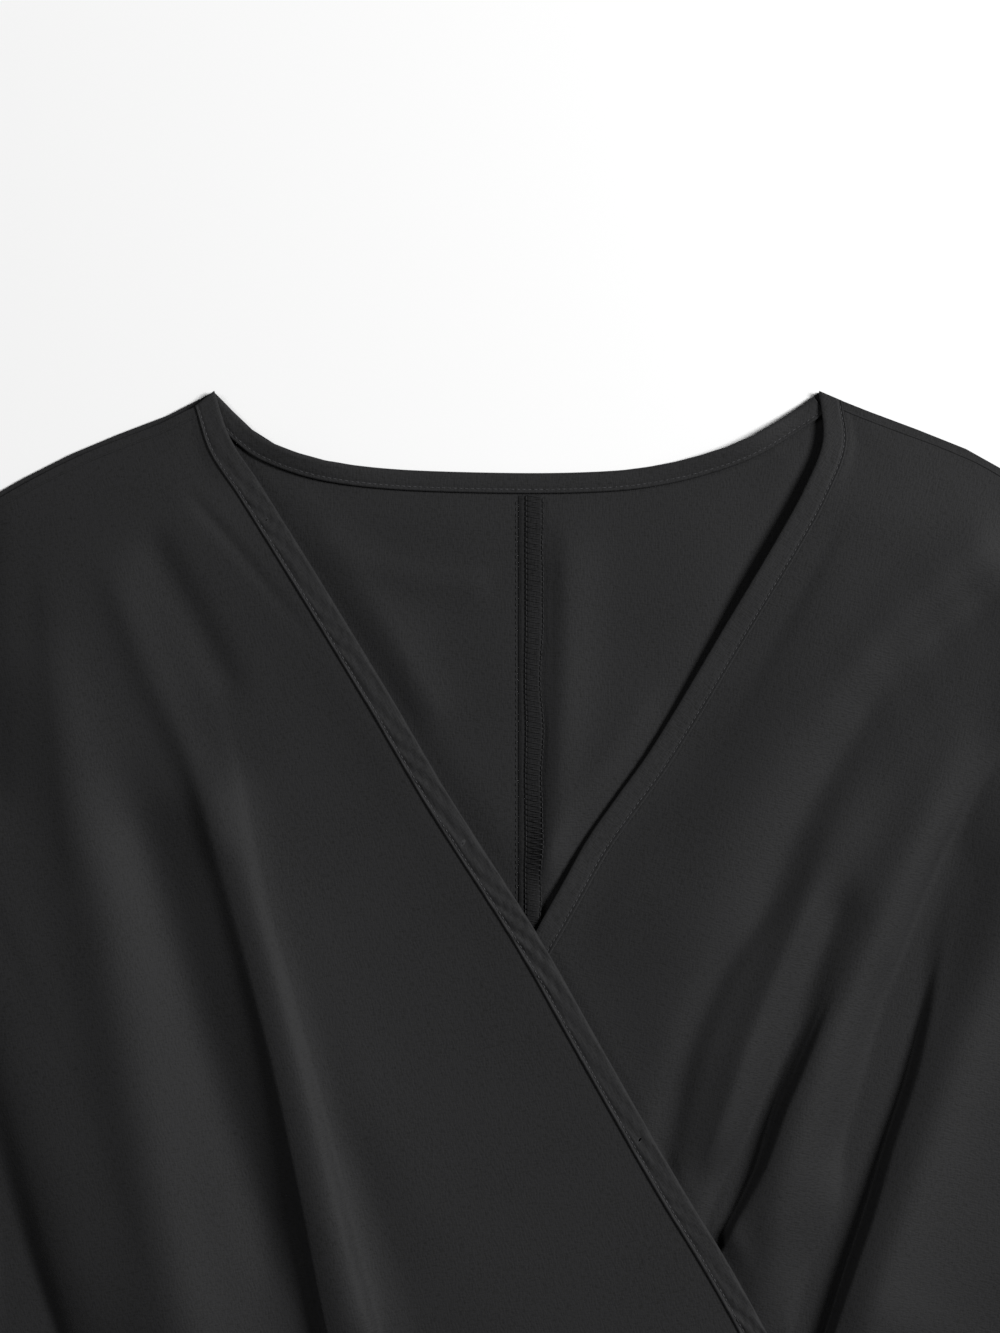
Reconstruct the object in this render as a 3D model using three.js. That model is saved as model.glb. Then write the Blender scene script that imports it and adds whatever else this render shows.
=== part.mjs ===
// A black wrap dress with batwing sleeves, laid flat on its back with the front up, in millimetres.
// +Y runs from the hem to the neck and +Z is up. X = 0 is the centre back seam, Z = 0 the surface under it.
// Right and left are the wearer's: the right front is on the -X side and lies over the left front.
import * as THREE from 'three';

// Driving sizes
const dressLength = 1000; // from the shoulder points to the middle of the hem
const waistDrop = 430; // from the shoulder points down to the waist seam
const halfWaist = 170;
const clothWall = 1.2;
const seamGap = 0.3; // between two pieces that are sewn or lie together
const bindingWide = 9.6; // the strip on the two front edges
const bindingWall = 1;
const backBindingWide = 8.2;
const tieWide = 26;
const tieWall = 1.6;

const shoulderY = dressLength / 2;
const waistY = shoulderY - waistDrop;
const hemY = -dressLength / 2;
const atDrop = (x, drop) => new THREE.Vector2(x, shoulderY - drop);
const side = { right: -1, left: 1 };

// Heights of a cloth wall's middle above the surface
const seamLevel = clothWall + seamGap + clothWall / 2; // a front where it is sewn to the back
const underLevel = 3.8; // the left front where the right front covers it
const overLevel = 7.2; // the right front at the waist, on top of the left one and its binding
const openLevel = { right: 7.6, left: 6.6 }; // each front where it lies loose
const stripDrop = 25; // below the shoulder point, the neckline edge has risen this far off the back
const stripLevel = 4.8;

// The neckline edge of each front, from the shoulder point to the waist
const neckline = {
  right: [
    { x: -121.8, drop: 0 }, { x: -120, drop: 10 }, { x: -116.4, drop: 17.2 }, { x: -110.2, drop: 26.4 },
    { x: -96, drop: 48.8 }, { x: -75.6, drop: 81.6 }, { x: -49, drop: 125.4 }, { x: -27, drop: 162.8 },
    { x: 7.2, drop: 216.4 }, { x: 32.5, drop: 261 }, { x: 62.2, drop: 313 }, { x: 89, drop: 357.6 },
    { x: 128, drop: waistDrop },
  ],
  left: [
    { x: 121.2, drop: 0 }, { x: 123.6, drop: 9.1 }, { x: 123, drop: 17.2 }, { x: 119.4, drop: 29.6 },
    { x: 108.2, drop: 52 }, { x: 84.8, drop: 91.6 }, { x: 54.2, drop: 142.8 }, { x: 29.4, drop: 177.8 },
    { x: 7.4, drop: 216.4 }, { x: -50, drop: 312 }, { x: -116, drop: waistDrop },
  ],
};

// How high each neckline edge stands above the surface, by its drop below the shoulder point
const necklineLift = {
  right: [
    { drop: 0, level: seamLevel }, { drop: stripDrop, level: stripLevel }, { drop: 70, level: 7.8 },
    { drop: 130, level: 9 }, { drop: 216, level: 8.6 }, { drop: 320, level: 7.8 },
    { drop: waistDrop, level: overLevel },
  ],
  left: [
    { drop: 0, level: seamLevel }, { drop: stripDrop, level: stripLevel }, { drop: 70, level: 7.4 },
    { drop: 100, level: 6.4 }, { drop: 130, level: 4.6 }, { drop: 165, level: underLevel },
    { drop: waistDrop, level: underLevel },
  ],
};

// The overarm edge from the shoulder point to the cuff, out from the centre back
const sleeveTop = [
  { out: 250, drop: 66 }, { out: 310, drop: 112 }, { out: 385, drop: 187 }, { out: 450, drop: 271 },
  { out: 505, drop: 370 },
];
const overarm = {
  right: [
    { out: 121.8, drop: 0 }, { out: 127, drop: 4.4 }, { out: 147, drop: 12 }, { out: 177, drop: 24 },
    { out: 207, drop: 39.6 }, ...sleeveTop,
  ],
  left: [
    { out: 121.2, drop: 0 }, { out: 133, drop: 4.8 }, { out: 153, drop: 12.4 }, { out: 173, drop: 20 },
    { out: 193, drop: 30 }, ...sleeveTop,
  ],
};

// The side seam and underarm edge from the waist to the inner corner of the cuff
const underarm = [
  { out: halfWaist, drop: waistDrop }, { out: 194, drop: 405 }, { out: 230, drop: 387 },
  { out: 300, drop: 377 }, { out: 355, drop: 394 }, { out: 400, drop: 428 },
];

// The back neck edge from one shoulder point to the other
const centreNeckDrop = 32.6;
const backNeck = [
  { x: -121.8, drop: 0 }, { x: -117, drop: 4.8 }, { x: -107, drop: 14.8 }, { x: -97, drop: 21.2 },
  { x: -77, drop: 27.6 }, { x: -47, drop: 31.2 }, { x: 0, drop: centreNeckDrop }, { x: 33, drop: 32 },
  { x: 53, drop: 30 }, { x: 73, drop: 25.6 }, { x: 93, drop: 18.4 }, { x: 113, drop: 6 },
  { x: 121.2, drop: 0 },
];

// Where the columns of a front's grid start on the waist and end along the overarm, closest where it folds.
// The first column starts at the binding's inner edge, and the last one ends at the side seam and the cuff.
const frontColumns = {
  right: [{ part: 0.24, waist: -40, along: 36 }, { part: 0.74, waist: -138, along: 150 }],
  left: [{ part: 0.2, waist: 45, along: 36 }, { part: 0.76, waist: 132, along: 190 }],
};
const columnCount = { right: 36, left: 40 };
const rowCount = 24;
const cuffRows = 7;

// Folds of the two fronts: a ridge rises and a trough sinks along a line through three places (x, drop)
const frontFolds = {
  right: [
    { from: [-125, 150], via: [-97, 240], to: [-60, 405], wide: 9, rise: 4.6 },
    { from: [-158, 150], via: [-122, 262], to: [-76, 405], wide: 10, rise: -4.4 },
    { from: [-190, 95], via: [-161, 240], to: [-126, 410], wide: 13, rise: 3.2 },
    { from: [-236, 210], via: [-220, 310], to: [-176, 412], wide: 15, rise: -4 },
    { from: [-205, 40], via: [-202, 104], to: [-206, 175], wide: 12, rise: -1.8 },
    { from: [-155, 56], via: [-141, 80], to: [-120, 122], wide: 8, rise: -1.2 },
    { from: [-276, 120], via: [-262, 250], to: [-215, 380], wide: 18, rise: 3.2 },
    { from: [-322, 160], via: [-302, 265], to: [-250, 366], wide: 20, rise: -2.2 },
    { from: [-385, 210], via: [-348, 292], to: [-292, 350], wide: 24, rise: 2.4 },
    { from: [-440, 290], via: [-400, 340], to: [-345, 366], wide: 22, rise: -1.6 },
  ],
  left: [
    { from: [206, 44], via: [112, 138], to: [66, 232], wide: 9, rise: 2 },
    { from: [214, 58], via: [124, 154], to: [74, 272], wide: 8, rise: -2.8 },
    { from: [137, 156], via: [100, 240], to: [79, 318], wide: 8, rise: 2 },
    { from: [136, 197], via: [108, 254], to: [78, 345], wide: 7, rise: -2.8 },
    { from: [222, 88], via: [142, 217], to: [84, 395], wide: 9, rise: 3.6 },
    { from: [214, 120], via: [150, 236], to: [108, 375], wide: 9, rise: -2.2 },
    { from: [190, 166], via: [152, 284], to: [104, 412], wide: 8, rise: -3.6 },
    { from: [236, 130], via: [178, 262], to: [130, 408], wide: 12, rise: 3.4 },
    { from: [270, 130], via: [240, 270], to: [176, 400], wide: 17, rise: -2.6 },
    { from: [318, 165], via: [284, 280], to: [214, 384], wide: 22, rise: 2.6 },
    { from: [380, 215], via: [338, 300], to: [272, 356], wide: 24, rise: -2 },
    { from: [440, 285], via: [398, 340], to: [340, 366], wide: 26, rise: 1.6 },
  ],
};

// The skirt: half its width at each drop below the waist, and the free edge of each front as a share of that
const skirtDrop = waistY - hemY;
const hemRise = 30; // how much higher the hem is at the side seams
const skirtSides = [
  { down: 0, half: halfWaist }, { down: 0.12, half: 199 }, { down: 0.35, half: 238 }, { down: 1, half: 300 },
];
const skirtEdge = {
  right: { waist: 128 / halfWaist, hem: 0.58 },
  left: { waist: -116 / halfWaist, hem: -0.42 },
};
const skirtColumns = { right: 30, left: 22 };
const skirtRows = 14;
const skirtRowCrowd = 1.5; // above 1, the rows are closer near the waist
const skirtFolds = {
  right: [
    { from: [-138, 446], via: [-178, 640], to: [-212, 985], wide: 20, rise: 4 },
    { from: [-92, 446], via: [-118, 620], to: [-146, 840], wide: 19, rise: 3 },
    { from: [-46, 446], via: [-60, 660], to: [-80, 995], wide: 21, rise: 3.8 },
    { from: [4, 446], via: [6, 600], to: [4, 790], wide: 19, rise: 2.8 },
    { from: [50, 446], via: [62, 650], to: [76, 995], wide: 21, rise: 3.2 },
    { from: [104, 446], via: [128, 610], to: [152, 880], wide: 20, rise: 2 },
  ],
  left: [
    { from: [150, 446], via: [204, 640], to: [236, 960], wide: 15, rise: 2.2 },
    { from: [158, 520], via: [182, 660], to: [200, 900], wide: 12, rise: -1.2 },
  ],
};

const cloth = new THREE.MeshStandardMaterial({ color: 0x29292a, roughness: 0.86, metalness: 0 });
const bindingCloth = new THREE.MeshStandardMaterial({ color: 0x2c2c2d, roughness: 0.82, metalness: 0 });
const seamCloth = new THREE.MeshStandardMaterial({ color: 0x232324, roughness: 0.9, metalness: 0 });
const tieCloth = new THREE.MeshStandardMaterial({ color: 0x2b2b2c, roughness: 0.84, metalness: 0 });

const group = new THREE.Group();

function addPiece(name, geometry, material) {
  const mesh = new THREE.Mesh(geometry, material);
  mesh.name = name;
  group.add(mesh);
}

const mix = (a, b, t) => a + (b - a) * t;
const smooth = (from, to, value) => THREE.MathUtils.smoothstep(value, from, to);

// Straight-line reading of a short table: one column's value where another column has the place asked for
function readTable(rows, key, place, value) {
  const next = rows.findIndex((row) => row[key] >= place);
  if (next <= 0) return next === 0 ? rows[0][value] : rows.at(-1)[value];
  const [low, high] = [rows[next - 1], rows[next]];
  return mix(low[value], high[value], (place - low[key]) / (high[key] - low[key]));
}

const curveThrough = (places) => new THREE.SplineCurve(places);

// How far a place lies from a line of short steps, on which side, and how far along its nearest spot is
function nearest(line, place) {
  let best = { distance: Infinity };
  for (let k = 0; k + 1 < line.length; k += 1) {
    const step = line[k + 1].clone().sub(line[k]);
    const reach = place.clone().sub(line[k]);
    const share = THREE.MathUtils.clamp(reach.dot(step) / step.lengthSq(), 0, 1);
    const distance = reach.distanceTo(step.clone().multiplyScalar(share));
    if (distance < best.distance) {
      best = { distance, sign: Math.sign(step.cross(reach)), along: (k + share) / (line.length - 1) };
    }
  }
  return best;
}

// A fold's soft ridge or trough, which dies out towards both ends
const foldSteps = 10;
const foldEnds = 0.16;
const foldLines = new Map();
function foldHeight(folds, x, y) {
  const place = new THREE.Vector2(x, y);
  let height = 0;
  for (const fold of folds) {
    if (!foldLines.has(fold)) {
      const curve = curveThrough([fold.from, fold.via, fold.to].map(([px, drop]) => atDrop(px, drop)));
      foldLines.set(fold, curve.getPoints(foldSteps));
    }
    const { distance, along } = nearest(foldLines.get(fold), place);
    const ends = smooth(0, foldEnds, along) * smooth(0, foldEnds, 1 - along);
    height += fold.rise * ends * Math.exp(-((distance / fold.wide) ** 2));
  }
  return height;
}

// The upward direction square to a grid of points at one of its columns and rows
function upward(grid, i, j) {
  const { clamp } = THREE.MathUtils;
  const cell = (a, b) => grid[clamp(a, 0, grid.length - 1)][clamp(b, 0, grid[0].length - 1)];
  const across = cell(i + 1, j).clone().sub(cell(i - 1, j));
  const along = cell(i, j + 1).clone().sub(cell(i, j - 1));
  const up = across.cross(along).normalize();
  return up.multiplyScalar(Math.sign(up.z));
}

// A closed wall of cloth round a grid of points on its middle, in columns that each run up in rows
function wallGeometry(grid, thick) {
  const columns = grid.length;
  const rows = grid[0].length;
  const positions = [];
  for (const half of [0.5, -0.5]) {
    grid.forEach((column, i) => column.forEach((place, j) => {
      positions.push(...place.clone().addScaledVector(upward(grid, i, j), half * thick).toArray());
    }));
  }
  const turned = grid[0][0].x > grid[columns - 1][0].x;
  const top = (i, j) => i * rows + j;
  const low = (i, j) => columns * rows + top(i, j);
  const faces = [];
  const quad = (a, b, c, d) => faces.push(...(turned ? [a, c, b, a, d, c] : [a, b, c, a, c, d]));
  for (let i = 0; i + 1 < columns; i += 1) {
    for (let j = 0; j + 1 < rows; j += 1) {
      quad(top(i, j), top(i + 1, j), top(i + 1, j + 1), top(i, j + 1));
      quad(low(i, j + 1), low(i + 1, j + 1), low(i + 1, j), low(i, j));
    }
    quad(low(i, 0), low(i + 1, 0), top(i + 1, 0), top(i, 0));
    quad(top(i, rows - 1), top(i + 1, rows - 1), low(i + 1, rows - 1), low(i, rows - 1));
  }
  for (let j = 0; j + 1 < rows; j += 1) {
    quad(top(0, j), top(0, j + 1), low(0, j + 1), low(0, j));
    quad(low(columns - 1, j), low(columns - 1, j + 1), top(columns - 1, j + 1), top(columns - 1, j));
  }
  const geometry = new THREE.BufferGeometry();
  geometry.setAttribute('position', new THREE.Float32BufferAttribute(positions, 3));
  geometry.setIndex(faces);
  geometry.computeVertexNormals();
  return geometry;
}

// A closed loft through equal rings of points, its two ends filled with the listed four-sided patches
function loftGeometry(rings, patches) {
  const size = rings[0].length;
  const faces = [];
  for (let r = 0; r + 1 < rings.length; r += 1) {
    for (let k = 0; k < size; k += 1) {
      const [a, b] = [r * size + k, r * size + ((k + 1) % size)];
      faces.push(a, b, b + size, a, b + size, a + size);
    }
  }
  const last = (rings.length - 1) * size;
  for (const [a, b, c, d] of patches) {
    faces.push(a, c, b, a, d, c);
    faces.push(last + a, last + b, last + c, last + a, last + c, last + d);
  }
  const positions = rings.flat().flatMap((place) => place.toArray());
  const geometry = new THREE.BufferGeometry();
  geometry.setAttribute('position', new THREE.Float32BufferAttribute(positions, 3));
  geometry.setIndex(faces);
  if (volumeOf(geometry) < 0) geometry.setIndex(faces.reverse());
  geometry.computeVertexNormals();
  return geometry;
}

function volumeOf(geometry) {
  const { position } = geometry.attributes;
  const corners = Array.from(geometry.index.array, (k) => (
    new THREE.Vector3().fromBufferAttribute(position, k)
  ));
  let volume = 0;
  for (let k = 0; k < corners.length; k += 3) {
    volume += corners[k].dot(corners[k + 1].clone().cross(corners[k + 2])) / 6;
  }
  return volume;
}

// A flat panel of cloth cut to an outline, from one height up by its wall
function flatPanel(outline, lowest, thick) {
  const shape = new THREE.Shape(outline);
  const geometry = new THREE.ExtrudeGeometry(shape, { depth: thick, bevelEnabled: false });
  return geometry.translate(0, 0, lowest);
}

// Bodice edges. A front's overarm edge lies a little inside the back's, which rolls to the front there
const seamRoll = { right: 2.4, left: 0.6 };
const rollFrom = 30; // along the overarm from the shoulder point, the roll grows over this length
const neckStepCount = 40;
const edges = {};
for (const name of ['right', 'left']) {
  const out = side[name];
  const overarmCurve = curveThrough(overarm[name].map((row) => atDrop(out * row.out, row.drop)));
  const underarmCurve = curveThrough(underarm.map((row) => atDrop(out * row.out, row.drop)));
  const neckCurve = curveThrough(neckline[name].map((row) => atDrop(row.x, row.drop)).reverse());
  edges[name] = {
    out,
    overarmCurve,
    underarmCurve,
    neckCurve,
    overarmLong: overarmCurve.getLength(),
    cuffOuter: overarmCurve.getPoint(1),
    cuffInner: underarmCurve.getPoint(1),
    neckSteps: neckCurve.getSpacedPoints(neckStepCount),
  };
}

const frontOverarm = (name, along) => {
  const { overarmCurve, overarmLong, out } = edges[name];
  const share = Math.min(along / overarmLong, 1);
  const inward = overarmCurve.getTangentAt(share).rotateAround(new THREE.Vector2(), -out * Math.PI / 2);
  const roll = seamRoll[name] * smooth(0, rollFrom, along) * smooth(0, rollFrom, overarmLong - along);
  return overarmCurve.getPointAt(share).addScaledVector(inward, roll);
};

// Heights of the fronts near the waist, where both are drawn in by small gathers
const gatherPitch = 17;
const gatherDeep = 0.6;
const sideRamp = { right: 52, left: 90 };
function waistLevel(name, x) {
  const level = name === 'right' ? overLevel : underLevel;
  const fromSide = halfWaist - x * side[name];
  return mix(seamLevel, level, smooth(0, sideRamp[name], fromSide));
}
const waistGather = (x) => gatherDeep * Math.sin((Math.PI * x) / gatherPitch) ** 2;

// The height of a front's middle, from its levels, its folds and its edges
const edgeBlend = 42;
const waistZone = 17; // above and below the waist seam the fronts lie level under the tie
const waistRise = 3; // the folds reach their full height this many zones from the waist
const neckHoldWide = 3 * bindingWide;
const openFrom = { near: 6, far: 50 }; // the left front rises over this stretch past the right neckline
const foldFrom = { near: 2, far: 26 };
function frontLevel(name, place, u, v, spans) {
  const drop = shoulderY - place.y;
  const lift = readTable(necklineLift[name], 'drop', drop, 'level');
  let open = openLevel[name];
  let folded = smooth(bindingWide, edgeBlend, u * spans.across);
  if (name === 'left') {
    const { distance, sign } = nearest(edges.right.neckSteps, place);
    open = mix(underLevel, open, smooth(openFrom.near, openFrom.far, -sign * distance));
    folded *= smooth(foldFrom.near, foldFrom.far, -sign * distance);
  }
  const fromNeck = smooth(bindingWide, edgeBlend, u * spans.across);
  let level = mix(lift, open, fromNeck) + foldHeight(frontFolds[name], place.x, place.y) * folded;
  const lowest = name === 'right' ? overFloor(place) : seamLevel;
  level = Math.max(level, lowest);
  const fromSeams = smooth(0, edgeBlend, (1 - v) * spans.up) * smooth(0, edgeBlend, (1 - u) * spans.across);
  const neckHold = 1 - smooth(0, neckHoldWide, u * spans.across);
  level = mix(seamLevel, level, Math.max(fromSeams, neckHold));
  const waist = Math.max(seamLevel, waistLevel(name, place.x) - waistGather(place.x));
  return mix(waist, level, smooth(waistZone, waistZone * waistRise, place.y - waistY));
}

// The right front clears the left one and its binding where it covers them, and elsewhere only the back
const coverClear = clothWall + bindingWall + 3 * seamGap;
const coverRamp = { from: -34, to: -12 }; // past the left neckline, the right front comes down over this
function overFloor(place) {
  const { distance, sign } = nearest(edges.left.neckSteps, place);
  const covering = smooth(coverRamp.from, coverRamp.to, -sign * distance);
  return mix(seamLevel, underLevel + coverClear, covering);
}

// A front's grid: its neckline edge, the binding's inner edge, and columns that fan from waist to overarm
function frontGrid(name) {
  const { out, neckCurve, underarmCurve, cuffInner, cuffOuter, overarmLong } = edges[name];
  const neckEnd = neckCurve.getPoint(0);
  const neckTangent = neckCurve.getTangentAt(0);
  const bindingEnd = neckEnd.x + (out * bindingWide) / Math.abs(neckTangent.y);
  const columns = columnCount[name];
  const stations = [
    { part: 0, waist: bindingEnd, along: bindingWide },
    ...frontColumns[name],
    { part: 1, waist: out * halfWaist, along: overarmLong },
  ];
  const shares = Array.from({ length: rowCount + 1 }, (_, j) => j / rowCount);
  const neckRow = shares.map((v) => neckCurve.getPointAt(v));
  const stripRow = shares.map((v) => {
    if (v === 0) return new THREE.Vector2(bindingEnd, waistY);
    if (v === 1) return frontOverarm(name, bindingWide);
    const inward = neckCurve.getTangentAt(v).rotateAround(new THREE.Vector2(), -out * Math.PI / 2);
    return neckCurve.getPointAt(v).addScaledVector(inward, bindingWide);
  });
  const sideRow = shares.map((v, j) => {
    const turn = rowCount - cuffRows;
    if (j <= turn) return underarmCurve.getPointAt(j / turn);
    return cuffInner.clone().lerp(cuffOuter, (j - turn) / cuffRows);
  });
  const grid = [neckRow.map((place, j) => levelled(name, place, 0, shares[j], { across: 1, up: 1 }))];
  for (let i = 0; i < columns; i += 1) {
    const part = i / (columns - 1);
    const waistX = readTable(stations, 'part', part, 'waist');
    const along = readTable(stations, 'part', part, 'along');
    const foot = new THREE.Vector2(waistX, waistY);
    const head = frontOverarm(name, along);
    const footShare = (waistX - bindingEnd) / (out * halfWaist - bindingEnd);
    const headShare = (along - bindingWide) / (overarmLong - bindingWide);
    const column = shares.map((v, j) => {
      const blend = mix(footShare, headShare, v);
      const place = stripRow[j].clone().multiplyScalar(1 - blend).addScaledVector(sideRow[j], blend);
      place.addScaledVector(foot, 1 - v).addScaledVector(head, v);
      const low = stripRow[0].clone().lerp(sideRow[0], blend).multiplyScalar(1 - v);
      const high = stripRow[rowCount].clone().lerp(sideRow[rowCount], blend).multiplyScalar(v);
      place.sub(low).sub(high);
      const spans = { across: stripRow[j].distanceTo(sideRow[j]), up: foot.distanceTo(head) };
      return levelled(name, place, blend + bindingWide / spans.across, v, spans);
    });
    grid.push(column);
  }
  return grid;
}

function levelled(name, place, u, v, spans) {
  return new THREE.Vector3(place.x, place.y, frontLevel(name, place, u, v, spans));
}

// Backs, each cut in one with the back of its sleeve
const backSteps = { neck: 12, overarm: 26, underarm: 14 };
const backNeckCurve = curveThrough(backNeck.map((row) => atDrop(row.x, row.drop)));
for (const name of ['right', 'left']) {
  const { out, overarmCurve, underarmCurve } = edges[name];
  const centre = (out * seamGap) / 2;
  const neckHalf = Array.from({ length: backSteps.neck + 1 }, (_, k) => {
    const share = 0.5 + (out * k) / (2 * backSteps.neck);
    return backNeckCurve.getPointAt(share);
  });
  neckHalf[0] = atDrop(centre, centreNeckDrop);
  const outline = [
    new THREE.Vector2(centre, waistY),
    ...neckHalf.slice(0, -1),
    ...overarmCurve.getSpacedPoints(backSteps.overarm),
    ...underarmCurve.getSpacedPoints(backSteps.underarm).reverse(),
  ];
  addPiece(`back_${name}`, flatPanel(outline, 0, clothWall), cloth);
}

// Fronts
const fronts = { right: frontGrid('right'), left: frontGrid('left') };
for (const name of ['right', 'left']) {
  addPiece(`front_${name}`, wallGeometry(fronts[name], clothWall), cloth);
}

// Bindings: a strip folded over each neckline edge and laid on the front, down to the tie
const bindingFoot = 1; // the row of the front's grid where the tie covers the binding
for (const name of ['right', 'left']) {
  const front = fronts[name];
  const rings = [];
  for (let j = bindingFoot; j <= rowCount; j += 1) {
    const outward = front[0][j].clone().sub(front[1][j]).normalize();
    const place = (i, out, rise) => (
      front[i][j].clone().addScaledVector(outward, out).addScaledVector(upward(front, i, j), rise)
    );
    const face = clothWall / 2 + seamGap;
    const lip = seamGap + bindingWall;
    rings.push([
      place(0, seamGap, face), place(1, 0, face), place(1, 0, face + bindingWall),
      place(0, lip, face + bindingWall), place(0, lip, -clothWall / 2), place(0, seamGap, -clothWall / 2),
    ]);
  }
  addPiece(`neck_binding_${name}`, loftGeometry(rings, [[0, 1, 2, 3], [0, 3, 4, 5]]), bindingCloth);
}

// The back neck binding, laid inside the back's edge between the two front ones
const backBindingSteps = 24;
const backBindingEnds = { edge: 0.014, inner: 0.078 };
const backBindingRings = [];
for (let k = 0; k <= backBindingSteps; k += 1) {
  const shareFrom = (trim) => mix(trim, 1 - trim, k / backBindingSteps);
  const innerShare = shareFrom(backBindingEnds.inner);
  const inward = backNeckCurve.getTangentAt(innerShare).rotateAround(new THREE.Vector2(), -Math.PI / 2);
  const edge = backNeckCurve.getPointAt(shareFrom(backBindingEnds.edge));
  const inner = backNeckCurve.getPointAt(innerShare).addScaledVector(inward, backBindingWide);
  const low = clothWall + seamGap;
  const high = low + bindingWall;
  backBindingRings.push([
    new THREE.Vector3(edge.x, edge.y, low), new THREE.Vector3(inner.x, inner.y, low),
    new THREE.Vector3(inner.x, inner.y, high), new THREE.Vector3(edge.x, edge.y, high),
  ]);
}
addPiece('neck_binding_back', loftGeometry(backBindingRings, [[0, 1, 2, 3]]), bindingCloth);

// The centre back seam's overlocked edges, pressed to the left, from the binding to just above the waist
const seamAllowance = { from: 0.6, wide: 9.2, topDrop: 41.6, footDrop: 400 };
const seamEdge = { low: shoulderY - seamAllowance.footDrop, high: shoulderY - seamAllowance.topDrop };
addPiece('centre_back_seam', flatPanel([
  new THREE.Vector2(seamAllowance.from, seamEdge.low),
  new THREE.Vector2(seamAllowance.from + seamAllowance.wide, seamEdge.low),
  new THREE.Vector2(seamAllowance.from + seamAllowance.wide, seamEdge.high),
  new THREE.Vector2(seamAllowance.from, seamEdge.high),
], clothWall + seamGap, clothWall), seamCloth);

// The skirt. A row of its grid keeps one share of the way from waist to hem, a column one of its half width
const skirtHalfCurve = curveThrough(skirtSides.map((row) => new THREE.Vector2(row.down, row.half)));
const skirtStepCount = 60;
const skirtSteps = skirtHalfCurve.getPoints(skirtStepCount);
const skirtHalf = (v) => {
  const next = Math.max(1, skirtSteps.findIndex((step) => step.x >= v));
  const [low, high] = [skirtSteps[next - 1], skirtSteps[next]];
  return mix(low.y, high.y, (v - low.x) / (high.x - low.x));
};
const skirtTop = waistY - seamGap;
function skirtPlace(share, v) {
  const hem = hemY + hemRise * share * share;
  return new THREE.Vector2(share * skirtHalf(v), mix(skirtTop, hem, v));
}
const skirtEdgeShare = (name, v) => mix(skirtEdge[name].waist, skirtEdge[name].hem, v);

const skirtBackSteps = 12;
const hemLine = Array.from({ length: 2 * skirtBackSteps + 1 }, (_, k) => (
  skirtPlace(k / skirtBackSteps - 1, 1)
));
const skirtSide = (out) => (
  Array.from({ length: skirtBackSteps }, (_, k) => skirtPlace(out, k / skirtBackSteps))
);
addPiece('skirt_back', flatPanel([
  ...skirtSide(-1), ...hemLine, ...skirtSide(1).reverse(),
], 0, clothWall), cloth);

// Heights of the skirt's fronts: each leaves the waist as the bodice does and sinks a little towards the hem
const skirtBlend = 40;
const coverBlend = 60;
const skirtWaistRise = 4; // the skirt's folds reach their full height this many zones below the waist
const skirtUnderHem = 3;
const skirtCover = overLevel - underLevel;
function skirtUnderLevel(place, v) {
  const sideNear = skirtHalf(v) - place.x;
  const loose = mix(underLevel, skirtUnderHem, v) + foldHeight(skirtFolds.left, place.x, place.y);
  return mix(seamLevel, Math.max(seamLevel, loose), smooth(0, skirtBlend, sideNear));
}
function skirtLevel(name, place, v) {
  const gathers = waistGather(place.x);
  const fromWaist = smooth(waistZone, waistZone * skirtWaistRise, waistY - place.y);
  const held = Math.max(seamLevel, waistLevel(name, place.x) - gathers);
  if (name === 'left') return mix(held, skirtUnderLevel(place, v), fromWaist);
  const sideNear = place.x + skirtHalf(v);
  const over = skirtUnderLevel(place, v) + skirtCover;
  const covered = mix(seamLevel, over, smooth(0, coverBlend, sideNear));
  const ridges = Math.max(0, foldHeight(skirtFolds.right, place.x, place.y));
  const folds = ridges * smooth(0, skirtBlend, sideNear);
  return mix(held, covered + folds, fromWaist);
}
function skirtGrid(name) {
  const columns = skirtColumns[name];
  return Array.from({ length: columns + 1 }, (_, i) => (
    Array.from({ length: skirtRows + 1 }, (__, j) => {
      const v = (j / skirtRows) ** skirtRowCrowd;
      const place = skirtPlace(mix(skirtEdgeShare(name, v), side[name], i / columns), v);
      return new THREE.Vector3(place.x, place.y, skirtLevel(name, place, v));
    }).reverse()
  ));
}
const skirts = { right: skirtGrid('right'), left: skirtGrid('left') };
for (const name of ['right', 'left']) {
  addPiece(`skirt_front_${name}`, wallGeometry(skirts[name], clothWall), cloth);
}

// The tie: a band from each side seam to a knot on the right front's edge, and two ends that hang from it
const knotAt = { x: 113, y: waistY };
const knotHalf = { x: 18, y: 16, z: 6 };
const tieBandSteps = 34;
const bandRise = clothWall / 2 + seamGap + tieWall / 2;
function tieBand(from, to, levelAt, steps) {
  return Array.from({ length: steps + 1 }, (_, i) => {
    const x = mix(from, to, i / steps);
    return [-1, 1].map((edge) => new THREE.Vector3(x, waistY + (edge * tieWide) / 2, levelAt(x)));
  });
}
const bandRightLevel = (x) => waistLevel('right', x) + bandRise;
const knotSeat = overLevel + bandRise + tieWall / 2 + seamGap;
addPiece('tie_band_right', wallGeometry(
  tieBand(-halfWaist, knotAt.x + knotHalf.x / 2, bandRightLevel, tieBandSteps), tieWall,
), tieCloth);
const bandLeftClear = neckline.right.at(-1).x + seamGap + bindingWall + seamGap;
const bandLeftEnd = bandLeftClear + 1;
const bandLeftSteps = 8;
const bandLeftLift = 22; // over this length the left band climbs from the left front to the knot
const bandLeftLevel = (x) => {
  const low = waistLevel('left', x) + bandRise;
  return mix(knotSeat + tieWall, low, smooth(bandLeftClear, bandLeftClear + bandLeftLift, x));
};
addPiece('tie_band_left', wallGeometry(
  tieBand(halfWaist, bandLeftEnd, bandLeftLevel, bandLeftSteps), tieWall,
), tieCloth);

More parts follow.
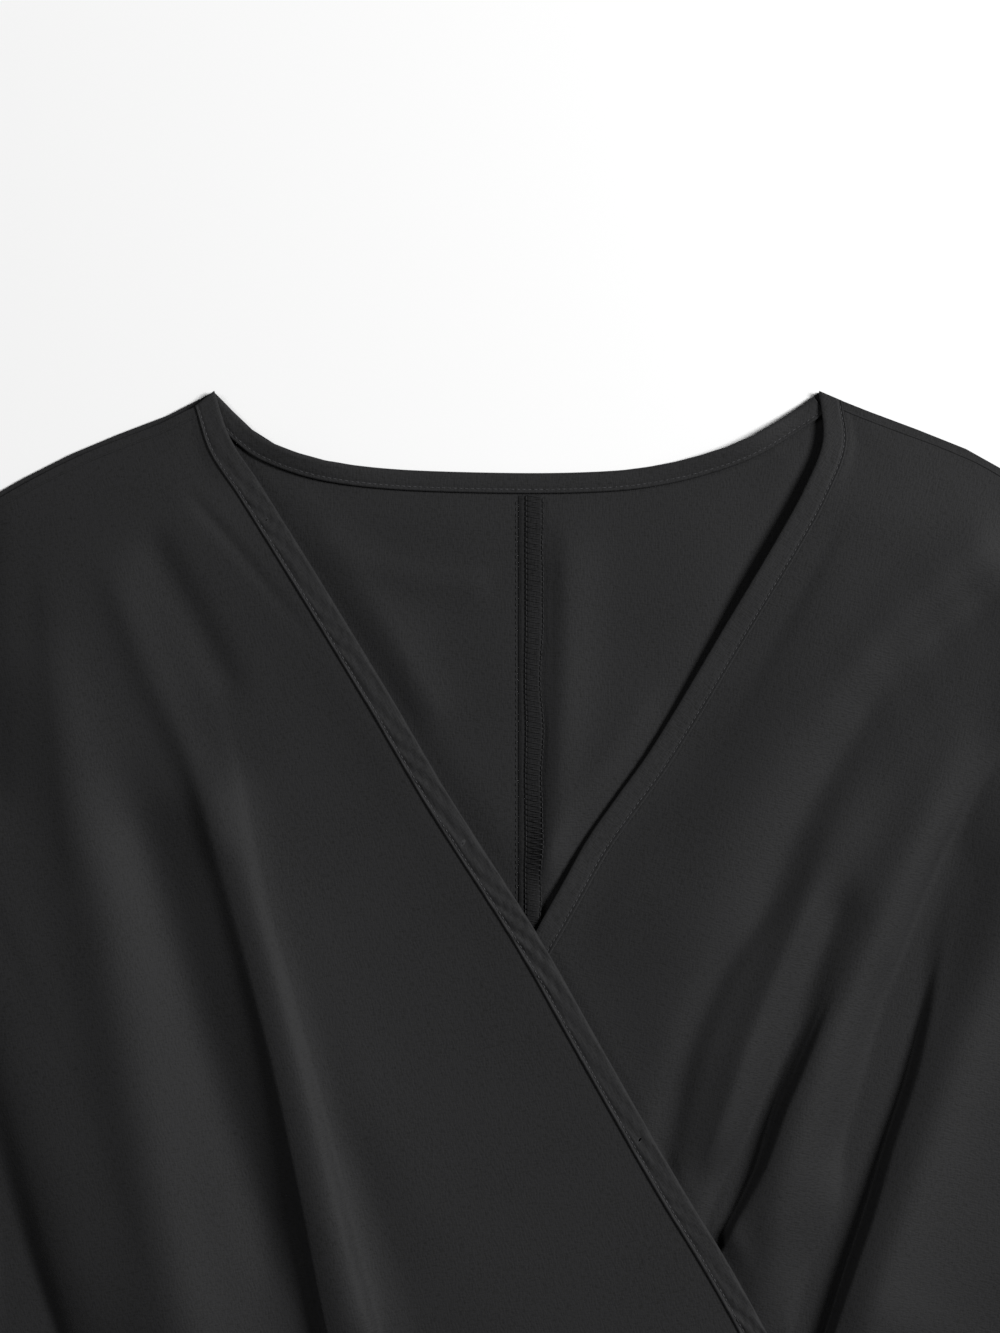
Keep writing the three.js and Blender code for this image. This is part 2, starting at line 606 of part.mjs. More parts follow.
const knotSides = { around: 20, up: 12 };
const knotSunk = 0.6; // its middle is this share of its half height above its flat foot
const knotGeometry = new THREE.SphereGeometry(1, knotSides.around, knotSides.up).rotateX(Math.PI / 2);
knotGeometry.scale(knotHalf.x, knotHalf.y, knotHalf.z);
knotGeometry.translate(knotAt.x, knotAt.y, knotSeat + knotHalf.z * knotSunk);
const knotPoints = knotGeometry.attributes.position;
for (let k = 0; k < knotPoints.count; k += 1) {
  knotPoints.setZ(k, Math.max(knotPoints.getZ(k), knotSeat));
}
addPiece('tie_knot', knotGeometry, tieCloth);

const endApart = 7.5; // each end leaves the knot this far from its middle
const endDrop = waistDrop + 18;
const tieEnds = {
  long: { from: [knotAt.x - endApart, endDrop], via: [92, 560], to: [84, 700], rows: 16 },
  short: { from: [knotAt.x + endApart, endDrop], via: [131, 540], to: [136, 650], rows: 13 },
};
const tieEndNarrow = 13;
const tieEndSpread = 70; // from the knot to where an end has its full width
const tieEndClear = 0.5;
for (const [name, end] of Object.entries(tieEnds)) {
  const curve = curveThrough([end.from, end.via, end.to].map(([x, drop]) => atDrop(x, drop)));
  const long = curve.getLength();
  const grid = [-1, -0.5, 0, 0.5, 1].map((across) => Array.from({ length: end.rows + 1 }, (_, j) => {
    const share = 1 - j / end.rows;
    const half = mix(tieEndNarrow, tieWide, smooth(0, tieEndSpread, share * long)) / 2;
    const place = curve.getPointAt(share).add(new THREE.Vector2(across * half, 0));
    const v = (skirtTop - place.y) / (skirtTop - hemY);
    const onSkirt = skirtLevel('right', place, v) + bandRise + tieEndClear;
    const fromKnot = mix(knotSeat + tieWall, onSkirt, smooth(0, bandLeftLift, share * long));
    return new THREE.Vector3(place.x, place.y, Math.max(onSkirt, fromKnot));
  }));
  addPiece(`tie_end_${name}`, wallGeometry(grid, tieWall), tieCloth);
}

export default group;
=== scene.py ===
import math

import bmesh
import bpy
import numpy as np
from mathutils import Matrix, Vector, noise


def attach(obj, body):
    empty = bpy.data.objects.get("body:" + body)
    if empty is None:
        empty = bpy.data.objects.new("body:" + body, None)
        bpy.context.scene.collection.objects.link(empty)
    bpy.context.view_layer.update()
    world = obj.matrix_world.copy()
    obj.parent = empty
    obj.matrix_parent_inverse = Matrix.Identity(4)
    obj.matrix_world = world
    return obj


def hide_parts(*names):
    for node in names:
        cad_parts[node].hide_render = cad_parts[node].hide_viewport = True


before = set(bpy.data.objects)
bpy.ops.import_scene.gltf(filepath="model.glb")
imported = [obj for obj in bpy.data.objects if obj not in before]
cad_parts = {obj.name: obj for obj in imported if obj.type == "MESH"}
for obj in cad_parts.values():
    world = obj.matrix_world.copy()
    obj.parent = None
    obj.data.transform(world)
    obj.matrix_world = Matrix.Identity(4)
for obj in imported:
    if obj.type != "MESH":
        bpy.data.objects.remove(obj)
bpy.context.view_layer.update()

MM = 0.001

# Bodice fronts. Each is one piece of black crepe cut in one with the front of its sleeve. The right front is
# laid over the left one, and both are drawn in at the waist, so deep soft folds run up to the shoulders.
# Sizes are in millimetres, and a drop is measured down from the shoulder points.
SHOULDER_Y = 500.0
WAIST_DROP = 413
BINDING_WIDE = 9.6
CREPE_THICK = 0.55
LOWEST_FRONT = 2.0
FLOOR_BEND = 0.5

# A crease is a line of places (x, drop), then its height at its start and end, then how far it spreads
# towards -X and towards +X, each at its start and end. It grows and fades over these shares of its length.
CREASE_GROWS, CREASE_FADES = 0.2, 0.15
CREASE_STEPS = 6
INNER_FOLD = [(127, 232), (121, 248), (111, 272), (104, 288), (97, 308), (91, 320), (80, 342), (66, 372)]
OUTER_FOLD = [(170, 212), (166, 228), (161, 252), (155, 276), (147, 300), (139, 328), (131, 352), (123, 377),
              (104, 440)]
CREASES = {
    "right": [
        ([(-152, 96), (-143, 116), (-129, 148), (-119, 184), (-107, 228), (-97, 268), (-87, 316), (-75, 377),
          (-58, 450)], (0.5, 6.5), (6, 1.3), (16, 52)),
        ([(-127, 98), (-118, 122), (-110, 148), (-101, 196), (-90, 236), (-77, 284), (-66, 328), (-53, 377),
          (-33, 450)], (-0.1, -3.4), (4, 3), (10, 15)),
        ([(-70, 284), (-54, 328), (-36, 377), (-10, 450)], (-0.6, -3), (8, 14), (10, 26)),
        ([(-161, 140), (-155, 156), (-141, 204), (-134, 244), (-124, 284), (-112, 324), (-97, 364),
          (-70, 450)], (-0.6, -3.6), (18, 25), (16, 16)),
        ([(-167, 60), (-151, 104), (-137, 136), (-125, 164), (-117, 196)], (1.3, 1.2), (7, 5), (9, 8)),
        ([(-187, 124), (-171, 188), (-160, 244), (-153, 284), (-145, 343), (-134, 430)],
         (0.8, 1.4), (9, 14), (14, 22)),
        ([(-222, 188), (-210, 244), (-201, 284), (-186, 343), (-177, 377), (-164, 430)],
         (0, 6.5), (11, 12), (90, 110)),
        ([(-232, 216), (-222, 262), (-211, 304), (-201, 345), (-192, 385), (-178, 450)],
         (-2, -12), (11, 10), (12, 15)),
        ([(-150, 52), (-138, 74), (-128, 92), (-120, 108), (-110, 126)], (-1.3, -1.3), (8, 7), (6, 6)),
        ([(-136, 37), (-115, 59), (-100, 77), (-76, 104)], (-0.7, -0.5), (3, 3), (2.4, 2.4)),
        ([(-214, 30), (-213, 90), (-211, 130), (-210, 176)], (-2.4, -2.4), (12, 12), (7, 7)),
        ([(-189, 60), (-186, 104), (-181, 150), (-176, 200)], (0.6, 0.6), (5, 5), (9, 9)),
        ([(-322, 150), (-300, 230), (-268, 300), (-236, 350)], (-1.6, -3), (7, 8), (9, 10)),
        ([(-396, 230), (-352, 292), (-300, 336)], (1.4, 2.4), (6, 8), (12, 14)),
    ],
    "left": [
        ([(212, 56), (193, 77), (172, 92), (153, 106), (136, 132), (121, 160), (103, 196), (90, 226)],
         (-1.2, -1.2), (8, 7), (7, 6)),
        ([(121, 172), (109, 196), (97, 212), (85, 228), (77, 244), (69, 264), (64, 284), (60, 304),
          (56, 330)], (-1.1, -2.6), (7, 8), (5, 5)),
        ([(125, 188), (97, 244), (82, 288), (70, 316)], (0.8, 1.4), (6, 6), (6, 6)),
        ([(139, 176), (133, 188), (125, 216), (115, 248), (105, 272), (93, 308), (78, 345)],
         (-0.6, -3), (8, 8), (6, 4)),
        (INNER_FOLD, (-1, -9), (6, 8), (2, 1)),
        (INNER_FOLD, (0.6, 5), (2, 1), (12, 16)),
        ([(206, 104), (185, 148), (170, 188), (157, 228), (149, 260), (142, 292), (131, 330)],
         (-3, -5.5), (11, 12), (9, 6)),
        (OUTER_FOLD, (-3, -13), (9, 14), (2.4, 1)),
        (OUTER_FOLD, (0.8, 7.5), (2.4, 1.2), (18, 40)),
        ([(153, 250), (145, 280), (138, 304), (131, 324), (123, 348), (115, 372), (98, 430)],
         (0, 3), (7, 9), (1.6, 1.2)),
        ([(214, 112), (196, 134), (179, 160), (166, 186), (155, 214), (146, 244)],
         (1.4, 1.2), (9, 8), (3.5, 3)),
        ([(274, 120), (258, 190), (240, 250), (214, 310)], (-1.2, -2.4), (9, 10), (9, 10)),
        ([(318, 160), (290, 236), (252, 306), (220, 350)], (1.2, 2.2), (7, 8), (12, 14)),
        ([(400, 236), (354, 296), (304, 338)], (-1.4, -2.4), (9, 10), (7, 8)),
    ],
}


def smoother(knots, steps):
    """More places between the rows of an array, on smooth curves through them."""
    knots = np.asarray(knots, float)
    padded = np.concatenate([2 * knots[:1] - knots[1:2], knots, 2 * knots[-1:] - knots[-2:-1]])
    a, b, c, d = (padded[k:len(padded) - 3 + k, None] for k in range(4))
    t = (np.arange(steps) / steps).reshape(1, steps, *[1] * (knots.ndim - 1))
    made = 0.5 * (2 * b + (c - a) * t + (2 * a - 5 * b + 4 * c - d) * t**2 + (3 * b - a - 3 * c + d) * t**3)
    return np.concatenate([made.reshape(-1, *knots.shape[1:]), knots[-1:]])


def finer(grid, between, along):
    """A grid with more lines between its lines and more places along each of them."""
    return smoother(smoother(grid, between).swapaxes(0, 1), along).swapaxes(0, 1)


def beside(places, line):
    """How far each place lies to the +X side of a downward line, and its share of the way along it."""
    best = np.full(len(places), np.inf)
    side = np.zeros(len(places))
    share = np.zeros(len(places))
    lengths = np.linalg.norm(np.diff(line, axis=0), axis=1)
    starts = np.concatenate([[0], np.cumsum(lengths)])
    for k, long in enumerate(lengths):
        step = (line[k + 1] - line[k]) / long
        reach = places - line[k]
        along = np.clip(reach @ step, 0, long)
        off = reach - along[:, None] * step
        distance = np.hypot(off[:, 0], off[:, 1])
        nearer = distance < best
        best[nearer] = distance[nearer]
        turn = reach[:, 0] * step[1] - reach[:, 1] * step[0]
        side[nearer] = (np.sign(turn) * distance)[nearer]
        share[nearer] = ((starts[k] + along) / starts[-1])[nearer]
    return side, share


def ease(low, high, value):
    """0 up to a low value and 1 from a high one, with a smooth rise between them."""
    part = np.clip((value - low) / (high - low), 0, 1)
    return part * part * (3 - 2 * part)


def crease_heights(places, creases):
    """The summed ridges and the summed troughs of some creases at each place."""
    ridges = np.zeros(len(places))
    troughs = np.zeros(len(places))
    for line, rise, left, right in creases:
        side, share = beside(places, smoother(line, CREASE_STEPS))
        wide_left = left[0] + (left[1] - left[0]) * share
        wide_right = right[0] + (right[1] - right[0]) * share
        wide = np.where(side < 0, wide_left, wide_right)
        height = rise[0] + (rise[1] - rise[0]) * share
        height = height * ease(0, CREASE_GROWS, share) * ease(0, CREASE_FADES, 1 - share)
        height = height * np.exp(-((side / wide) ** 2))
        ridges += np.maximum(height, 0)
        troughs += np.minimum(height, 0)
    return ridges, troughs


def evened(heights, reach):
    """Heights averaged, three times over, with those of the lines on either side."""
    for _ in range(3):
        padded = np.pad(heights, ((reach, reach), (0, 0)), mode="edge")
        heights = np.mean([padded[k:k + len(heights)] for k in range(2 * reach + 1)], axis=0)
    return heights


# Corners this near are one corner in a solid and in a closed strip, a face on the upper side looks up by at
# least this much, and no two faces turn by as many radians as this.
MERGED_WITHIN, CLOSED_WITHIN = 0.002, 0.01
FACES_UP = 0.25
ANY_ANGLE = 4


def merged_copy(node):
    """A copy of a solid's mesh with its loose triangles joined to each other."""
    bm = bmesh.new()
    bm.from_mesh(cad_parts[node].data)
    bmesh.ops.remove_doubles(bm, verts=bm.verts, dist=MERGED_WITHIN * MM)
    return bm


def upper_face(node):
    """The upper side of a panel's solid."""
    bm = merged_copy(node)
    bm.normal_update()
    rest = [face for face in bm.faces if face.normal.z < FACES_UP]
    bmesh.ops.delete(bm, geom=rest, context="FACES")
    return bm


def cloth_grid(node, first, second):
    """The upper face of a panel's solid as lines of places, from the edge between two corners on."""
    bm = upper_face(node)
    squares = bm.copy()
    bmesh.ops.join_triangles(squares, faces=squares.faces, angle_face_threshold=ANY_ANGLE,
                             angle_shape_threshold=ANY_ANGLE)
    places = [vert.co.copy() for vert in squares.verts if len(vert.link_edges) == 2]
    squares.free()
    corners = {min(bm.verts, key=lambda vert: (vert.co - place).length) for place in places}
    start, goal = (min(corners, key=lambda vert: math.dist(vert.co.xy / MM, place))
                   for place in (first, second))

    def rim_neighbours(vert):
        return [edge.other_vert(vert) for edge in vert.link_edges if edge.is_boundary]

    walks = []
    for step in rim_neighbours(start):
        walk = [start, step]
        while walk[-1] not in corners:
            walk.append(next(vert for vert in rim_neighbours(walk[-1]) if vert is not walk[-2]))
        walks.append(walk)
    walks.sort(key=lambda walk: walk[-1] is not goal)
    lines = [walks[0]]
    used = set(walks[0])
    for head in walks[1][1:]:
        line = [head]
        for above in lines[-1][1:]:
            beside_head = {edge.other_vert(line[-1]) for edge in line[-1].link_edges}
            below = {edge.other_vert(above) for edge in above.link_edges}
            line.append(next(vert for vert in beside_head & below if vert not in used))
            used.add(line[-1])
        used.add(head)
        lines.append(line)
    grid = np.array([[vert.co / MM for vert in line] for line in lines])
    bm.free()
    return grid


def new_piece(name, bm):
    """A new object made from a bmesh, which is freed."""
    mesh = bpy.data.meshes.new(name)
    bm.to_mesh(mesh)
    bm.free()
    piece = bpy.data.objects.new(name, mesh)
    bpy.context.scene.collection.objects.link(piece)
    return piece


def grid_piece(name, grid, closed=False):
    """A grid of four-sided faces draped on lines of places; a closed one is a tube with filled ends."""
    lines, count = grid.shape[:2]
    bm = bmesh.new()
    bmesh.ops.create_grid(bm, x_segments=count - 1, y_segments=lines - 1, size=1)
    for vert, place in zip(bm.verts, grid.reshape(-1, 3) * MM):
        vert.co = place
    if closed:
        bmesh.ops.remove_doubles(bm, verts=bm.verts, dist=CLOSED_WITHIN * MM)
        bmesh.ops.holes_fill(bm, edges=[edge for edge in bm.edges if edge.is_boundary], sides=0)
    bmesh.ops.recalc_face_normals(bm, faces=bm.faces)
    if not closed and sum(face.normal.z for face in bm.faces) < 0:
        bmesh.ops.reverse_faces(bm, faces=bm.faces)
    return new_piece(name, bm)


def lay_grain(piece, angle):
    """A UV map in millimetres whose V runs along the threads, turned from +Y by an angle in degrees."""
    turn = math.radians(angle)
    grain = piece.data.uv_layers.new(name="grain")
    for loop in piece.data.loops:
        x, y = (piece.data.vertices[loop.vertex_index].co / MM).xy
        grain.data[loop.index].uv = (x * math.cos(turn) + y * math.sin(turn),
                                     y * math.cos(turn) - x * math.sin(turn))


def finish_cloth(piece, thick, material, slot, *nodes):
    """Gives a piece its thickness below its face, its smooth look and its material, hangs it on the root and
    hides the solids it stands for.
    """
    for polygon in piece.data.polygons:
        polygon.use_smooth = True
    if thick:
        edge_of_loop = [loop.edge_index for loop in piece.data.loops]
        all_uses = np.bincount(edge_of_loop, minlength=len(piece.data.edges))
        for edge, uses in zip(piece.data.edges, all_uses):
            edge.use_edge_sharp = bool(uses == 1)
        wall = piece.modifiers.new("thickness", "SOLIDIFY")
        wall.thickness = thick * MM
        wall.offset = -1
        wall.use_even_offset = False
    piece.data.materials.clear()
    piece.data.materials.append(material)
    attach(piece, "root")
    if nodes:
        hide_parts(*nodes)


def linear(hex_colour):
    """An sRGB hex colour as linear red, green, blue and alpha."""
    parts = [int(hex_colour[k:k + 2], 16) / 255 for k in (1, 3, 5)]
    return [c / 12.92 if c <= 0.04045 else ((c + 0.055) / 1.055) ** 2.4 for c in parts] + [1.0]


def add_node(tree, kind, settings=None, **links):
    """One node with its settings; a link or a value goes to each named input, or to i0, i1 and so on."""
    node = tree.nodes.new(kind)
    for key, value in (settings or {}).items():
        setattr(node, key, value)
    for key, value in links.items():
        numbered = key[0] == "i" and key[1:].isdigit()
        socket = node.inputs[int(key[1:])] if numbered else node.inputs[key.replace("_", " ")]
        if isinstance(value, bpy.types.NodeSocket):
            tree.links.new(value, socket)
        else:
            socket.default_value = value
    return node


# The real threads are about a quarter of a millimetre apart, too fine to show, so they are drawn this wide,
# with slubs this long. The clouds are the slight differences in depth that a dyed piece has across it.
THREAD_WIDE = 0.7
WARP_SLUB, WEFT_SLUB = 2.4, 2.2
THREADS_RAISED = 0.25
CLOUD_WIDE = 38
THREAD_SHARE, CLOUD_SHARE, TONE_BASE = 0.62, 0.2, 0.25
DARKEST_TONE, LIGHTEST_TONE = 0.72, 1.22


def crepe(name, dark, light, roughness, sheen, bump):
    """Matt black polyester crepe: fine crossed threads with slubs, a faint nap and cloudy depth."""
    material = bpy.data.materials.new(name)
    material.use_nodes = True
    tree = material.node_tree
    shader = tree.nodes["Principled BSDF"]
    shader.inputs["Roughness"].default_value = roughness
    shader.inputs["Specular IOR Level"].default_value = 0.22
    shader.inputs["Sheen Weight"].default_value = sheen
    shader.inputs["Sheen Roughness"].default_value = 0.45
    shader.inputs["Sheen Tint"].default_value = linear("#d8d8dc")
    grain = add_node(tree, "ShaderNodeUVMap", {"uv_map": "grain"}).outputs["UV"]
    threads = []
    for scale in ((1 / THREAD_WIDE, 1 / WARP_SLUB, 1), (1 / WEFT_SLUB, 1 / THREAD_WIDE, 1)):
        run = add_node(tree, "ShaderNodeMapping", None, Vector=grain, Scale=scale).outputs[0]
        slubs = add_node(tree, "ShaderNodeTexNoise", None, Vector=run, Scale=1.0, Detail=2.0)
        threads.append(slubs.outputs[0])
    clouds = add_node(tree, "ShaderNodeTexNoise", None, Vector=grain, Scale=1 / CLOUD_WIDE, Detail=3.0)
    woven = add_node(tree, "ShaderNodeMath", {"operation": "ADD"}, i0=threads[0], i1=threads[1])
    depth = add_node(tree, "ShaderNodeMath", {"operation": "MULTIPLY_ADD"}, i0=clouds.outputs[0],
                     i1=CLOUD_SHARE, i2=TONE_BASE)
    tone = add_node(tree, "ShaderNodeMath", {"operation": "MULTIPLY_ADD"}, i0=woven.outputs[0],
                    i1=THREAD_SHARE, i2=depth.outputs[0])
    ramp = add_node(tree, "ShaderNodeValToRGB", None, Fac=tone.outputs[0])
    tones = ((DARKEST_TONE, dark), (LIGHTEST_TONE, light))
    for element, (position, colour) in zip(ramp.color_ramp.elements, tones):
        element.position = position
        element.color = linear(colour)
    tree.links.new(ramp.outputs["Color"], shader.inputs["Base Color"])
    raised = add_node(tree, "ShaderNodeBump", None, Height=woven.outputs[0], Strength=bump,
                      Distance=THREADS_RAISED * MM)
    tree.links.new(raised.outputs["Normal"], shader.inputs["Normal"])
    return material


# The dress's own cloth, woven polyester crepe dyed in the piece: matt and even, with a fine pebbled grain
black_crepe = crepe("woven_black_crepe", "#141414", "#1f1f20", roughness=0.7, sheen=0.05, bump=0.5)

# Each front's threads lean by an angle in degrees. The solid's heights are evened out over this many lines
# each way, and beside its binding the left front's first lines sink by these depths at these drops.
GRAIN = {"right": 14, "left": -14}
FRONT_STEPS = (9, 5)
NECK_LINE_STEPS = 3
SOFTEN_REACH = 8
LEFT_EDGE_LINES = 4
LEFT_EDGE_SUNK = [(45, 0), (95, 2.2), (130, 1.8), (178, 1.3), (200, 0)]
FRONT_CORNERS = {"right": ((-121.8, 500), (128, 70)), "left": ((121.2, 500), (-116, 70))}

# Over these distances the creases and the softening set in: past a binding, inside the outer edge as a share
# of the panel, on the left front past the right front's edge, and above the waist.
CREASED_PAST_BINDING = 14
SOFTENED_PAST_BINDING = 20
SOFTENED_INSIDE = 0.15
RIDGES_PAST_COVER = (0.5, 8)
TROUGHS_PAST_COVER = (-8, 0)
SOFTENED_PAST_COVER = (4, 40)
WAIST_FADE = 36

panel_grids = {name: cloth_grid(f"front_{name}", *FRONT_CORNERS[name]) for name in ("right", "left")}
for line in panel_grids["left"][:LEFT_EDGE_LINES]:
    line[:, 2] -= np.interp(SHOULDER_Y - line[:, 1], *np.transpose(LEFT_EDGE_SUNK))
neck_lines = {name: smoother(grid[0, :, :2] * (1, -1) + (0, SHOULDER_Y), NECK_LINE_STEPS)
              for name, grid in panel_grids.items()}
front_forms = {}
for name, grid in panel_grids.items():
    grid = finer(grid, *FRONT_STEPS)
    points = grid.reshape(-1, 3)
    places = np.column_stack([points[:, 0], SHOULDER_Y - points[:, 1]])
    ridges, troughs = crease_heights(places, CREASES[name])
    from_neck = np.abs(beside(places, neck_lines[name])[0])
    ridges *= ease(BINDING_WIDE, BINDING_WIDE + CREASED_PAST_BINDING, from_neck)
    troughs *= ease(BINDING_WIDE, BINDING_WIDE + CREASED_PAST_BINDING, from_neck)
    softened = ease(BINDING_WIDE, BINDING_WIDE + SOFTENED_PAST_BINDING, from_neck)
    softened *= np.repeat(ease(0, SOFTENED_INSIDE, np.linspace(1, 0, len(grid))), grid.shape[1])
    if name == "left":
        past_cover = beside(places, neck_lines["right"])[0]
        ridges *= ease(*RIDGES_PAST_COVER, past_cover)
        troughs *= ease(*TROUGHS_PAST_COVER, past_cover)
        softened *= ease(*SOFTENED_PAST_COVER, past_cover)
    points[:, 2] += softened * (evened(grid[:, :, 2], SOFTEN_REACH).ravel() - points[:, 2])
    waist = ease(0, WAIST_FADE, WAIST_DROP - places[:, 1])
    above_lowest = (points[:, 2] + (ridges + troughs) * waist - LOWEST_FRONT) / FLOOR_BEND
    points[:, 2] = LOWEST_FRONT + FLOOR_BEND * np.logaddexp(0, above_lowest)
    front_forms[name] = points.reshape(grid.shape)
    piece = grid_piece(f"cloth_front_{name}", front_forms[name])
    lay_grain(piece, GRAIN[name])
    finish_cloth(piece, CREPE_THICK, black_crepe, "crepe", f"front_{name}")

# Shoulder seams. Each joins a front to its back, from the binding to the cuff. It lies just in front of the
# fold that makes the outline, and shows as a fine raised line of the crepe, a welt given as (out, up).
SEAM_WELT = [(-0.55, -0.15), (-0.4, 0.12), (0, 0.24), (0.4, 0.12), (0.55, -0.15)]
WELT_START = 6
WELT_STEPS = 2


def headings(line):
    """The direction in which a line of places runs at each of them."""
    heading = np.gradient(line, axis=0)
    return heading / np.linalg.norm(heading, axis=1)[:, None]


for name in ("right", "left"):
    edge = smoother(front_forms[name][WELT_START:, 1], WELT_STEPS)
    heading = headings(edge[:, :2])
    rings = [edge + np.column_stack([-heading[:, 1] * out, heading[:, 0] * out, np.full(len(edge), up)])
             for out, up in SEAM_WELT]
    piece = grid_piece(f"seam_shoulder_{name}", np.stack(rings, axis=1))
    lay_grain(piece, 0)
    finish_cloth(piece, 0, black_crepe, "crepe")

# Bodice backs. Each is cut from the same crepe in one with the back of its sleeve, lies flat on the table and
# shows inside the V, where it swells a little. The two are sewn together in the centre back seam.
BACK_TOP = 1.2
BACK_NECK = [(-121.8, 0), (-117, 4.8), (-107, 14.8), (-97, 21.2), (-77, 27.6), (-47, 31.2), (0, 32.6),
             (33, 32), (53, 30), (73, 25.6), (93, 18.4), (113, 6), (121.2, 0)]
BACK_CREASES = [
    ([(19, 44), (18, 90), (16, 140), (13, 180), (11, 210)], (1.9, 2.4), (4, 3), (14, 8)),
    ([(64, 118), (49, 142), (34, 166), (22, 186), (14, 204)], (0.6, 3.4), (16, 11), (8, 7)),
    ([(-92, 52), (-72, 76), (-52, 104), (-34, 140)], (1.8, 1.4), (5, 5), (12, 12)),
    ([(-76, 62), (-40, 74), (-8, 78)], (1, 0.8), (6, 6), (4, 4)),
]

# The neck edge stands up by this much beside each shoulder, over these distances from the centre and this
# depth. The back swells in soft mounds, which set in over these distances inside the V and below the neck.
NECK_STANDS = 2.4
NECK_STANDS_FROM, NECK_STANDS_TO = (44, 92), (94, 117)
NECK_STANDS_DEEP = 9
SWELL = 0.7
SWELL_WIDE, SWELL_TALL = 34, 46
SHOWN_INSIDE_V = (1, 14)
SHOWN_BELOW_NECK = (9, 22)
BACK_CUTS_ACROSS = np.arange(-126, 127, 3)
BACK_CUTS_DOWN = np.arange(24, 240, 4)
CENTRE_WITHIN = 0.2


def neck_lift(x):
    """How far the back neck's edge stands up beside each shoulder."""
    out = np.abs(x)
    return NECK_STANDS * ease(*NECK_STANDS_FROM, out) * (1 - ease(*NECK_STANDS_TO, out))


def back_heights(places):
    """How high the back stands at each place inside the V."""
    swell = np.array([noise.noise(Vector((x / SWELL_WIDE, y / SWELL_TALL, 0.7))) for x, y in places])
    ridges = crease_heights(places, BACK_CREASES)[0]
    inside = np.minimum(beside(places, neck_lines["right"])[0], -beside(places, neck_lines["left"])[0])
    below_neck = places[:, 1] - np.interp(places[:, 0], *np.transpose(BACK_NECK))
    shown = ease(*SHOWN_INSIDE_V, inside) * ease(*SHOWN_BELOW_NECK, below_neck)
    lift = neck_lift(places[:, 0]) * (1 - ease(0, NECK_STANDS_DEEP, below_neck))
    return BACK_TOP + (SWELL + SWELL * swell + ridges) * shown + lift


for name in ("right", "left"):
    bm = upper_face(f"back_{name}")
    cuts = [((x * MM, 0, 0), (1, 0, 0)) for x in BACK_CUTS_ACROSS]
    cuts += [((0, (SHOULDER_Y - drop) * MM, 0), (0, 1, 0)) for drop in BACK_CUTS_DOWN]
    for place, across in cuts:
        everything = bm.verts[:] + bm.edges[:] + bm.faces[:]
        bmesh.ops.bisect_plane(bm, geom=everything, plane_co=place, plane_no=across)
    places = np.array([(vert.co.x / MM, SHOULDER_Y - vert.co.y / MM) for vert in bm.verts])
    for vert, height in zip(bm.verts, back_heights(places)):
        vert.co.z = height * MM
        if abs(vert.co.x) < CENTRE_WITHIN * MM:
            vert.co.x = 0
    piece = new_piece(f"cloth_back_{name}", bm)
    lay_grain(piece, 0)
    finish_cloth(piece, CREPE_THICK, black_crepe, "crepe", f"back_{name}")

# Skirt. Its back is one flat panel of the crepe. The two fronts are laid over it and overlap as the bodice's
# do, with soft folds from the seam at the waist.
SKIRT_CORNERS = {"right": ((128, 70), (174, -490)), "left": ((-116, 70), (-126, -495))}
SKIRT_STEPS = (4, 4)
skirt_forms = {}
for name, corners in SKIRT_CORNERS.items():
    skirt_forms[name] = finer(cloth_grid(f"skirt_front_{name}", *corners), *SKIRT_STEPS)
    piece = grid_piece(f"cloth_skirt_front_{name}", skirt_forms[name])
    lay_grain(piece, 0)
    finish_cloth(piece, CREPE_THICK, black_crepe, "crepe", f"skirt_front_{name}")

piece = new_piece("cloth_skirt_back", upper_face("skirt_back"))
lay_grain(piece, 0)
finish_cloth(piece, CREPE_THICK, black_crepe, "crepe", "skirt_back")

# Front bindings. A strip of the same crepe is folded over each neckline edge and edge-stitched along its
# inner edge. It was stretched a little as it was sewn, so it drags in slanting puckers, more on the right.
STRIP_SECTION = [
    (0.3, 0.04), (-0.2, -0.5), (-0.4, -0.1), (-0.3, 0.3), (0.1, 0.56), (1.2, 0.66), (3, 0.62), (4.8, 0.6),
    (6.4, 0.62), (7.3, 0.58), (7.85, 0.32), (8.4, 0.6), (8.9, 0.82), (9.25, 0.74), (9.45, 0.04), (7.2, 0.04),
    (4.8, 0.04), (2.4, 0.04), (0.3, 0.04),
]
STRIP_STEPS = 16
STRIP_STEPS_ALONG = 20
STRIP_GRAIN = {"right": 31, "left": -32}

# A pucker's height and its length along the strip, how it slants, how its length drifts, how weak it can be,
# how high in the section it starts, and the strip's width and first length that it rises over.
PUCKERS = {"right": (0.7, 19), "left": (0.14, 16)}
PUCKER_SLANT = 4
PUCKER_DRIFTS, PUCKER_DRIFT_LONG = (9, 13), 40
SECOND_PUCKER = 0.3
WEAKEST_PUCKER, WEAK_RANGE, WEAK_LONG = 0.35, (-0.2, 0.25), 70
PUCKERED_ABOVE = 0.2
PUCKERED_FROM, PUCKERED_WIDE = 1, 10.4
PUCKERS_START = 30


def run_along(line):
    """How far along a line of places each of them lies."""
    return np.concatenate([[0], np.cumsum(np.linalg.norm(np.diff(line, axis=0), axis=1))])


def wander(run, long, place):
    """Smooth noise along a run, whose ups and downs are about one length long."""
    return np.array([noise.noise(Vector((at / long, *place))) for at in run])


